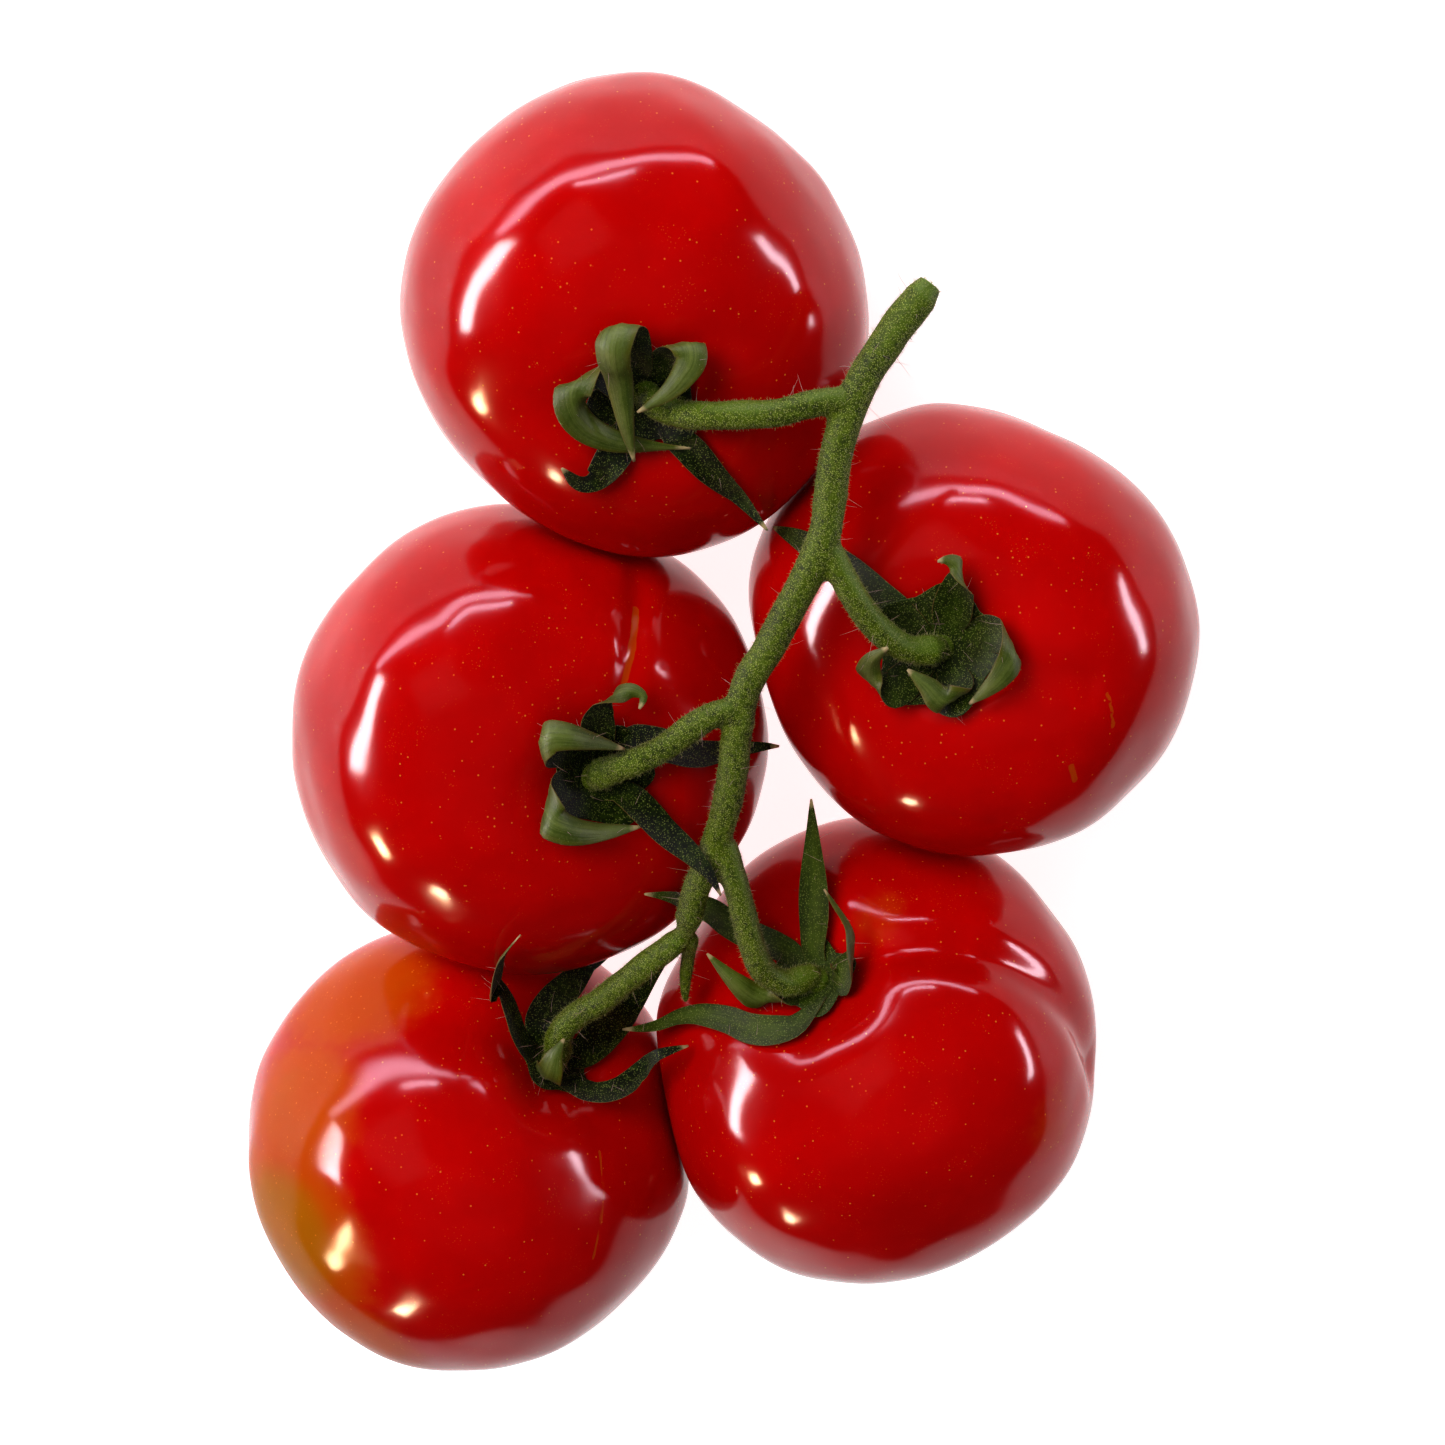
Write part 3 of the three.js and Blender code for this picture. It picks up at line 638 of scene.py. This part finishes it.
sepals = {
    "tomato_1": [
        {"turn": 112, "wide": 5.8, "roll": [-25, 0.2],
         "points": [[-1.8, 7.5, 2.5], [-3.5, 13.5, 6.5], [-5, 11, 9.5],
                    [-4, 5, 7.5], [-3, -2, 7], [-2, -7.5, 6]]},
        {"turn": 52, "wide": 5.4, "roll": [50, 0.15],
         "points": [[3.5, 7.5, 2.5], [5.5, 10, 6], [6, 9, 7.5], [4.5, 6, 8], [2, 3, 7.5], [-1.5, 0.5, 7]]},
        {"turn": 184, "wide": 5.4, "roll": [-135, 0.12],
         "points": [[-6.5, 5, 3], [-10.5, 4, 7.5], [-9.5, -0.5, 7],
                    [-5.5, -4.5, 5], [0, -6.5, 3.5], [6, -7, 3.5]]},
        {"turn": 250, "wide": 5.2,
         "points": [[-3.5, -6.5, 1.5], [-5.5, -9, 3], [-7.5, -11.5, 3],
                    [-9.5, -11.5, 4], [-12, -8.5, 5.5]]},
        {"turn": 318, "wide": 4.4,
         "points": [[3.5, -5, 1], [6, -7.5, 2], [9, -11.5, 2], [13, -16.5, 0], [17, -21.5, 1]]},
    ],
    "tomato_2": [
        {"turn": 150, "wide": 5.8,
         "points": [[-5.5, 4.5, 1.5], [-9.5, 7.5, 2.5], [-12.5, 10, 2],
                    [-18.5, 13.5, -1.5], [-25.5, 15.5, -9]]},
        {"turn": 75, "wide": 6, "roll": [-130, 0.5],
         "points": [[1.5, 4, 1], [3, 8, 4], [4, 11, 6.5], [3, 13, 7.5], [1, 13, 8.5]]},
        {"turn": 10, "wide": 5.6, "roll": [100, 0.3],
         "points": [[6, 2, 1.5], [9.5, 2.5, 4], [11.5, 0, 6.5],
                    [10, -3, 7], [7.5, -5.5, 6], [5, -7.5, 4.5]]},
        {"turn": 290, "wide": 5.6, "roll": [80, 0.3],
         "points": [[2, -4, 1], [3, -6.5, 4], [1.5, -7, 6], [-0.5, -5, 6.5], [-3.5, -2.5, 7]]},
        {"turn": 225, "wide": 5.6, "roll": [90, 0.3],
         "points": [[-4, -4, 1.5], [-6.5, -6, 4], [-9, -4.5, 6], [-8.5, -1.5, 9], [-5.5, 1, 11.5]]},
    ],
    "tomato_3": [
        {"turn": 134, "wide": 5.8, "roll": [30, 0.2],
         "points": [[-5, 4.5, 2.5], [-11, 7.5, 7.5], [-10, 9, 10],
                    [-7, 8.5, 10.5], [-2.5, 7, 9], [1.5, 5.5, 8]]},
        {"turn": 64, "wide": 5.2, "roll": [135, 0.5],
         "points": [[-0.6, 7.1, 2.5], [-0.9, 11, 5], [2, 13.5, 6.5], [4.5, 13, 7.5], [4, 11, 7.5]]},
        {"turn": 2, "wide": 5,
         "points": [[4, 4.5, 1], [9, 4, 2.5], [14, 2.5, 2.5],
                    [20.5, 2, 1], [24.5, 2.5, 2.5], [28.5, 2, 1.5]]},
        {"turn": 205, "wide": 5.6, "roll": [-95, 0.15],
         "points": [[-5.5, -0.5, 2], [-9, -2, 5], [-9.5, -4, 8],
                    [-6, -5.5, 8.5], [-0.5, -6.5, 7], [4.5, -6.5, 6.5]]},
        {"turn": 305, "wide": 4.8,
         "points": [[3.5, -2.5, 2], [5.5, -4.5, 5], [8, -7.5, 7],
                    [11, -10.5, 9], [13.5, -13.5, 10], [15.5, -17, 10]]},
    ],
    "tomato_4": [
        {"turn": 85, "wide": 4.8,
         "points": [[0, 3.5, 0.5], [1.5, 9.5, 4.5], [3, 16.5, 8.5], [5, 22, 15]]},
        {"turn": 10, "wide": 5.2, "roll": [-70, 0.2],
         "points": [[4, -1.5, 1], [7, 0, 4.5], [8, 3.5, 7], [6.5, 7, 8.5], [5, 9.5, 10]]},
        {"turn": 140, "wide": 4.6,
         "points": [[-3.5, 4.5, 1], [-8, 6, 6], [-10.5, 7, 9], [-12, 8, 12],
                    [-14.5, 9, 14], [-15.5, 7.5, 20], [-17.5, 6, 24.5]]},
        {"turn": 192, "wide": 4.4, "roll": [125, 0.1],
         "points": [[-4.5, -3.2, 2.2], [-7.5, -3.6, 4.7], [-9.5, -2.5, 9], [-12.5, 1, 12.5]]},
        {"turn": 280, "wide": 4.6,
         "points": [[-2.5, -8, 1.8], [-8, -7.8, 2.1], [-13.5, -5, 2.5],
                    [-20, -2.5, 1], [-26, -3, 0], [-31.5, -2, -1]]},
    ],
    "tomato_5": [
        {"turn": 172, "wide": 4.4,
         "points": [[-6.5, -0.5, 2.5], [-11, 2, 6.5], [-13, 6.5, 6.5], [-19, 1, 18.5], [-19.5, 1, 25.5]]},
        {"turn": 106, "wide": 6,
         "points": [[-3, 3, 1.5], [-2, 8, 3.5], [0.5, 12, 4.5], [2.5, 15, 6], [3.5, 15.5, 10]]},
        {"turn": 35, "wide": 6,
         "points": [[4.5, 2.5, 1.5], [7, 6.5, 3.5], [11, 13, 3.5], [11.5, 14.5, 9], [12, 15.5, 14]]},
        {"turn": 320, "wide": 4.6,
         "points": [[2, -3.5, 1.5], [4.5, -7, 5.5], [7.5, -6.5, 7.5],
                    [10.5, -3, 9.5], [10, -3.5, 15], [14, -1.5, 16.5]]},
        {"turn": 240, "wide": 5,
         "points": [[-3, -5.5, 4.5], [-4, -4.5, 8], [-3.5, -2.5, 10]]},
    ],
}


def skinReach(fruit, own):  # from the fruit's centre to its free skin, towards a point
    up = own.dot(fruit["axis"])
    turn = math.atan2(own.dot(fruit["north"]), own.dot(fruit["east"]))
    slope = math.acos(clamp(up / own.length, -1, 1))
    low, high = 0, math.pi
    pole = Vector((0, 0, 1))
    for _ in range(20):  # halvings, down to a few millionths of a radian
        drop = (low + high) / 2
        if skinPoint(fruit, turn, drop).angle(pole) < slope:
            low = drop
        else:
            high = drop
    return skinPoint(fruit, turn, low).length


def clearOfSkin(fruit, point, least):
    own = point - fruit["centre"]
    if own.length > fruit["across"]:
        return point
    under = skinReach(fruit, own) + least - own.length
    return point + own.normalized() * 0.5 * (under + math.hypot(under, sepalShape["clearSoftness"]))


# A smooth curve through points, centripetal, as a list of points at even distances.
def evenCurve(points, count, sampling=40):
    padded = [points[0] * 2 - points[1], *points, points[-1] * 2 - points[-2]]
    line = [points[0].copy()]
    for a, b, c, d in zip(padded, padded[1:], padded[2:], padded[3:]):
        ab, bc, cd = (math.sqrt((q - p).length) for p, q in ((a, b), (b, c), (c, d)))
        startWay = ((b - a) / ab - (c - a) / (ab + bc) + (c - b) / bc) * bc
        endWay = ((c - b) / bc - (d - b) / (bc + cd) + (d - c) / cd) * bc
        for i in range(1, sampling + 1):
            t = i / sampling
            line.append(b + startWay * t + (3 * (c - b) - 2 * startWay - endWay) * t ** 2
                        + (2 * (b - c) + startWay + endWay) * t ** 3)
    lengths = [0.0]
    for p, q in zip(line, line[1:]):
        lengths.append(lengths[-1] + (q - p).length)
    spots = []
    j = 0
    for i in range(count + 1):
        want = lengths[-1] * i / count
        while j < len(line) - 2 and lengths[j + 1] < want:
            j += 1
        share = (want - lengths[j]) / (lengths[j + 1] - lengths[j])
        spots.append(line[j].lerp(line[j + 1], clamp(share)))
    return spots


def sepalOutline(share):  # the width at a share of the length, as a share of the widest
    shape = sepalShape
    widest = shape["widestAt"]
    foot = mix(shape["footShare"], 1, math.sin(min(share / widest, 1) * math.pi / 2))
    taper = max(0, (share - widest) / (1 - widest)) ** shape["taperPower"]
    return foot * (1 - shape["tipLoss"] * taper)


def clearEdges(fruit, spot, across, half, least):  # lifts a sepal whose edges touch the skin
    out = spot - fruit["centre"]
    if out.length > fruit["across"]:
        return spot
    needs = [0.0]
    for side in (-half, half):
        edge = out + across * side
        needs.append(skinReach(fruit, edge) + least - edge.length)
    return spot + out.normalized() * max(needs)


# The places along one sepal, and the way across it at each.
def sepalFrames(fruit, sepal):
    shape = sepalShape
    turn = math.radians(sepal["turn"])
    rollAngle, rollStart = sepal.get("roll", (0, 0))
    base = fruit["tall"] / 2 - fruitShape["calyxDepth"]
    points = [fromFruit(fruit, shape["foot"] * math.cos(turn), shape["foot"] * math.sin(turn), base)]
    points += [fromFruit(fruit, x, y, base + z) for x, y, z in sepal["points"]]
    steps = shape["steps"]
    least = shape["lift"] + shape["thickness"] / 2
    spots = evenCurve(points, steps)
    for i in range(1, steps + 1):
        for other in fruits.values():
            spots[i] = clearOfSkin(other, spots[i], least)
    across = fruit["north"] * math.cos(turn) - fruit["east"] * math.sin(turn)
    places = []
    for i, spot in enumerate(spots):
        share = i / steps
        along = (spots[min(i + 1, steps)] - spots[max(i - 1, 0)]).normalized()
        out = spot - fruit["centre"]
        height = out.length - skinReach(fruit, out)
        flat = out.cross(along).normalized()
        if i > 1:
            lying = clamp(1 - height / shape["layingHeight"])
            across = across + flat * math.copysign(lying, flat.dot(across))
        across = (across - along * across.dot(along)).normalized()
        roll = rollAngle * smoothStep(rollStart, rollStart + shape["rollLength"], share)
        rolled = Quaternion(along, math.radians(roll)) @ across
        half = 0.5 * sepal["wide"] * sepalOutline(share)
        for other in fruits.values() if i else [fruit]:
            spot = clearEdges(other, spot, rolled, half, least)
        spots[i] = spot
        places.append((spot, rolled))
    return places


def makeSepal(fruit, sepal, name, material, seed):
    shape = sepalShape
    places = sepalFrames(fruit, sepal)
    fine = shape["steps"] * shape["finerSteps"]
    spots = evenCurve([place[0] for place in places], fine)
    rows = []
    for i, spot in enumerate(spots):
        share = i / fine * shape["steps"]
        before = min(int(share), shape["steps"] - 1)
        across = places[before][1].lerp(places[before + 1][1], share - before)
        half = 0.5 * sepal["wide"] * sepalOutline(i / fine)
        along = (spots[min(i + 1, fine)] - spots[max(i - 1, 0)]).normalized()
        across = (across - along * across.dot(along)).normalized()
        rows.append((spot, across, along.cross(across), half))
    bm = bmesh.new()
    bmesh.ops.create_cone(bm, segments=shape["around"], radius1=1, radius2=1, depth=1, cap_ends=True)
    upright = [edge for edge in bm.edges if abs(edge.verts[0].co.z - edge.verts[1].co.z) > 0.5]
    bmesh.ops.subdivide_edges(bm, edges=upright, cuts=fine - 1, use_grid_fill=True)
    marks = {"along": [], "side": [], "upper": [], "sepalPaintedLight": []}
    for vert in bm.verts:
        share = 0.5 - vert.co.z
        side, upper = vert.co.x, vert.co.y
        spot, across, face, half = rows[round(share * fine)]
        marks["along"].append(share)
        marks["side"].append(side)
        marks["upper"].append(upper)
        marks["sepalPaintedLight"].append(fruit.get("paintedLightOnSepals", 0.0))
        thin = 0.5 * shape["visibleThickness"] * mix(shape["tipThickness"], 1, 1 - share)
        rise = shape["channel"] * half * side ** 2
        phase = share * shape["waveTurns"] + seed * shape["wavePhase"] + side
        rise += shape["wave"] * half * side ** 2 * math.sin(phase)
        keel = shape["keel"] * math.exp(-((side / shape["keelWidth"]) ** 2)) * (1 - share)
        rise += upper * thin - (keel if upper < 0 else keel * shape["keelAbove"])
        vert.co = (spot + across * half * side + face * rise) * mm
    piece = meshPiece(name + "_leaf", bm, material)
    for mark, values in marks.items():
        pointValues(piece.data, mark, values)
    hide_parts(name)
    return piece


sepalLook = {
    "upperDark": (0.003, 0.006, 0.001),
    "upper": (0.024, 0.042, 0.002),
    # painted light: the lighter green of the upper side of sepals painted as lit
    "upperPaintedLight": (0.085, 0.125, 0.012),
    "under": (0.055, 0.085, 0.004),
    # the paler underside tone: partly the sepal's own colour, partly painted sheen
    "underPale": (0.140, 0.180, 0.030),
    "olive": (0.120, 0.110, 0.004),
    "rim": (0.240, 0.120, 0.040),
    "tip": (0.500, 0.380, 0.190),
    "speck": (0.260, 0.310, 0.070),
    "cloudScale": 170,
    "grainScale": 1300,
    "veinScale": 1.6,
    "veinsAcross": 7.0,
    "veinsAlong": 1.6,
    "fuzzScale": 3600,
    "fuzzSize": 0.33,
    "bumpStrength": 0.5,
    "bumpDepth": 0.3,
}


def sepalMaterial():
    uniform = {
        "IOR": 1.36,
        "Sheen Weight": 0.06,
        "Sheen Roughness": 0.4,
        "Sheen Tint": (0.9, 0.8, 0.5, 1),
        "Subsurface Weight": 0.06,
        "Subsurface Radius": (0.4, 1.0, 0.2),
        "Subsurface Scale": 0.001,
    }
    material, start, place, feed = newMaterial("greenSepal", uniform)
    look = sepalLook
    along, side = start.attribute("along"), start.attribute("side")
    under = (0.0 - start.attribute("upper")).step(-0.15, 0.15)
    cloudy = start.noise(place, look["cloudScale"], 3)
    grain = start.noise(place, look["grainScale"], 3, 0.6)
    stretched = {0: side * look["veinsAcross"], 1: along * look["veinsAlong"], 2: cloudy * 0.8}
    strip = start.node("ShaderNodeCombineXYZ", {}, stretched)
    veins = start.noise(strip, look["veinScale"], 3, 0.55)
    edge = abs(side)
    # paler along the veins and the middle of each sepal: partly the sepal's own vein tone, partly painted
    # sheen
    veinsAndPaintedSheen = (veins * 0.7 + grain * 0.3 + (1 - edge) * 0.25 + (cloudy - 0.5) * 0.8).step(0.40, 0.95)
    upper = (cloudy * 0.4 + grain * 0.6).step(0.40, 0.66).colour(look["upperDark"], look["upper"])
    # painted light: the upper side of some fruits' sepals is painted lighter, as if lit
    upper = (start.attribute("sepalPaintedLight") * (0.4 + veinsAndPaintedSheen * 0.6)).colour(upper, look["upperPaintedLight"])
    lower = veinsAndPaintedSheen.colour(look["under"], look["underPale"])
    colour = under.colour(upper, lower)
    olive = edge.step(0.55, 0.98) * (cloudy + 0.25).step(0.4, 0.8) * under
    colour = (olive * 0.7).colour(colour, look["olive"])
    fuzz = start.cells(place, look["fuzzScale"])
    specks = (look["fuzzSize"] - fuzz).step(0.0, 0.12) * (1 - under * 0.8)
    colour = (specks * 0.75).colour(colour, look["speck"])
    rim = edge.step(0.95, 1.0) * (grain + 0.2).step(0.4, 0.7)
    colour = (rim * 0.75).colour(colour, look["rim"])
    dry = (along + (grain - 0.5) * 0.05).step(0.93, 0.975)
    colour = dry.colour(colour, look["tip"])
    feed("Base Color", colour)
    feed("Roughness", 0.68 - under * 0.22 + grain * 0.1)
    height = veins * 0.5 + grain * 0.5 + specks * 0.5
    feed("Normal", bump(height, look))
    return material


cupShape = {
    "around": 60,
    "rings": 16,
    "reach": {"tomato_1": 6.2, "tomato_2": 7.8, "tomato_3": 6.2},  # out to between the sepals
    "plainReach": 4.8,
    "lobe": 2.2,
    "lobeWidth": 24,
    "rise": 0.045,
    "drop": 0.35,
    "thick": 0.42,
    "veinPlace": 0.3,  # the whole cup is coloured like this place across a sepal
    # painted light on the cup, as a share of the painted light on its sepals
    "cupPaintedLightShare": 0.5,
}


def makeCup(name, fruit, feet, material):  # the green web that joins the feet of the sepals
    shape = cupShape
    bm = bmesh.new()
    bmesh.ops.create_uvsphere(bm, u_segments=shape["around"], v_segments=shape["rings"], radius=1)
    base = fruit["tall"] / 2 - fruitShape["calyxDepth"] - shape["drop"]
    reach = shape["reach"].get(name.replace("calyx", "tomato"), shape["plainReach"])
    marks = {"along": [], "side": [], "upper": [], "sepalPaintedLight": []}
    for vert in bm.verts:
        turn = math.atan2(vert.co.y, vert.co.x)
        lobe = 0
        for foot in feet:
            away = (math.degrees(turn) - foot + 180) % 360 - 180
            lobe = max(lobe, math.exp(-(away / shape["lobeWidth"]) ** 2))
        out = math.hypot(vert.co.x, vert.co.y) * (reach + shape["lobe"] * lobe)
        marks["along"].append(0.0)
        marks["side"].append(shape["veinPlace"])
        marks["upper"].append(vert.co.z)
        marks["sepalPaintedLight"].append(fruit.get("paintedLightOnSepals", 0.0) * shape["cupPaintedLightShare"])
        high = base + shape["rise"] * out ** 2 + shape["thick"] * vert.co.z
        vert.co = fromFruit(fruit, out * math.cos(turn), out * math.sin(turn), high) * mm
    piece = meshPiece(name + "_cup", bm, material)
    for mark, values in marks.items():
        pointValues(piece.data, mark, values)
    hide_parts(name)
    return piece


leafGreen = sepalMaterial()
leaves = []
for fruitName, fruitSepals in sepals.items():
    feet = [sepal["turn"] for sepal in fruitSepals]
    cupName = fruitName.replace("tomato", "calyx")
    leaves.append(makeCup(cupName, fruits[fruitName], feet, leafGreen))
    for i, sepal in enumerate(fruitSepals):
        leafName = "sepal_%s_%d" % (fruitName[-1], i + 1)
        leaves.append(makeSepal(fruits[fruitName], sepal, leafName, leafGreen, i + len(leaves)))
print("sepals made")

# Hairs.

hairs = {
    "stem": {"count": 12000, "length": (0.2, 0.55), "width": 0.04, "lean": 0.5},
    "sepal": {"count": 7000, "length": (0.2, 0.55), "width": 0.04, "lean": 0.6},
    "long": {"count": 420, "length": (1.2, 3.4), "width": 0.06, "lean": 0.35},
    "seed": 5,
    "leastRise": 0.15,  # hairs that lie flatter are left out
    "bend": 0.18,
    "bendAt": 0.55,  # of the length
    "earlyBend": 0.4,
    "thinning": (1, 0.75, 0.25),
    "toneScale": 300,
    "darkShare": 0.7,
}


def hairMaterial(name, colour):
    uniform = {"Roughness": 0.45, "Sheen Weight": 0.3}
    material, start, place, feed = newMaterial(name, uniform)
    tone = start.noise(place, hairs["toneScale"], 2).step(0.3, 0.7)
    feed("Base Color", tone.colour(tuple(part * hairs["darkShare"] for part in colour), colour))
    return material


def growHairs(name, group, pieces, material):
    dice = random.Random(hairs["seed"])
    settings = hairs[group]
    curve = bpy.data.curves.new(name, "CURVE")
    curve.dimensions = "3D"
    curve.bevel_depth = settings["width"] / 2 * mm
    curve.bevel_resolution = 0
    count = settings["count"] // 1
    areas = [sum(face.area for face in piece.data.polygons) for piece in pieces]
    for piece, area in zip(pieces, areas):
        faces = piece.data.polygons
        share = round(count * area / sum(areas))
        chosen = dice.choices(range(len(faces)), weights=[face.area for face in faces], k=share)
        for index in chosen:
            root = faces[index].center
            way = faces[index].normal + Vector([dice.gauss(0, settings["lean"]) for _ in range(3)])
            way.normalize()
            if way.dot(faces[index].normal) < hairs["leastRise"]:
                continue
            length = dice.uniform(*settings["length"]) * mm
            bend = Vector([dice.gauss(0, hairs["bend"]) for _ in range(3)]) * length
            spline = curve.splines.new("POLY")
            spline.points.add(2)
            middle = root + way * length * hairs["bendAt"] + bend * hairs["earlyBend"]
            stops = [root, middle, root + way * length + bend]
            for point, stop, thick in zip(spline.points, stops, hairs["thinning"]):
                point.co = (*stop, 1)
                point.radius = thick
    holder = bpy.data.objects.new(name, curve)
    bpy.context.collection.objects.link(holder)
    mesh = bpy.data.meshes.new_from_object(holder.evaluated_get(bpy.context.evaluated_depsgraph_get()))
    bpy.data.objects.remove(holder)
    mesh.name = name
    mesh.materials.clear()
    mesh.materials.append(material)
    piece = bpy.data.objects.new(name, mesh)
    bpy.context.collection.objects.link(piece)
    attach(piece, "root")


shortHair = hairMaterial("shortHair", stemLook["hair"])
# the long hairs' pink is painted red light from the fruit behind them
longHair = hairMaterial("longHair", stemLook["longHair"])
growHairs("stemFuzz", "stem", [stems], shortHair)
growHairs("sepalFuzz", "sepal", leaves, shortHair)
growHairs("longHairs", "long", [stems] + leaves, longHair)
print("hairs grown")

# Floor and light.

studio = {
    "floorSize": 24000,
    "floor": (0.66, 0.66, 0.66),
    "floorShade": 0.985,  # the darker tone of the floor, as a share of its colour
    "floorScale": 3,
    "floorGlow": 0.74,
    "world": (0.03, 0.03, 0.033),
    "soft": [  # lights that give no highlight
        {"place": (0, 200, 1600), "size": (1700, 1700), "watts": 5, "colour": (1, 1, 1)},
        {"place": (-650, 900, 1250), "size": (900, 900), "watts": 18, "colour": (1, 1, 1)},
    ],
    "reflections": [  # lights that give nothing but highlights
        {"place": (-500, 1900, 400), "size": (4400, 220), "watts": 50, "colour": (0.95, 0.8, 1)},
        {"place": (-300, 1900, 700), "size": (900, 90), "watts": 8, "colour": (0.95, 0.8, 1)},
        {"place": (-1700, 260, 560), "size": (1100, 300), "watts": 46, "colour": (1, 0.9, 0.95)},
        {"place": (1700, 300, 420), "size": (1000, 170), "watts": 16, "colour": (1, 0.88, 1)},
        {"place": (-1150, -800, 520), "size": (190, 190), "watts": 11, "colour": (1, 0.72, 0.4)},
        {"place": (-600, -1300, 560), "size": (140, 140), "watts": 5, "colour": (1, 0.72, 0.45)},
    ],
}


def areaLight(name, settings, glossy, diffuse):
    light = bpy.data.lights.new(name, "AREA")
    light.shape = "RECTANGLE"
    light.size, light.size_y = (side * mm for side in settings["size"])
    light.energy = settings["watts"]
    light.color = settings["colour"]
    lamp = bpy.data.objects.new(name, light)
    lamp.location = Vector(settings["place"]) * mm
    lamp.rotation_euler = lamp.location.to_track_quat("Z", "Y").to_euler()
    lamp.visible_glossy = glossy
    lamp.visible_diffuse = diffuse
    lamp.visible_camera = False
    bpy.context.collection.objects.link(lamp)


def makeFloor():
    bm = bmesh.new()
    bmesh.ops.create_grid(bm, x_segments=1, y_segments=1, size=studio["floorSize"] / 2 * mm)
    glow = {"Roughness": 0.6, "Emission Color": (1, 1, 1, 1), "Emission Strength": studio["floorGlow"]}
    material, start, place, feed = newMaterial("paleTable", glow)
    tone = start.noise(place, studio["floorScale"], 2)
    shade = tuple(part * studio["floorShade"] for part in studio["floor"])
    feed("Base Color", tone.colour(studio["floor"], shade))
    mesh = bpy.data.meshes.new("floor")
    bm.to_mesh(mesh)
    bm.free()
    mesh.materials.append(material)
    floor = bpy.data.objects.new("floor", mesh)
    bpy.context.collection.objects.link(floor)


makeFloor()
for i, soft in enumerate(studio["soft"]):
    areaLight("soft%d" % i, soft, False, True)
for i, reflection in enumerate(studio["reflections"]):
    areaLight("reflection%d" % i, reflection, True, False)
world = bpy.data.worlds.new("studio")
world.use_nodes = True
world.node_tree.nodes["Background"].inputs["Color"].default_value = (*studio["world"], 1)
bpy.context.scene.world = world
bpy.context.scene.view_settings.view_transform = "Standard"
bpy.context.scene.view_settings.look = "Medium High Contrast"
print("studio lit")
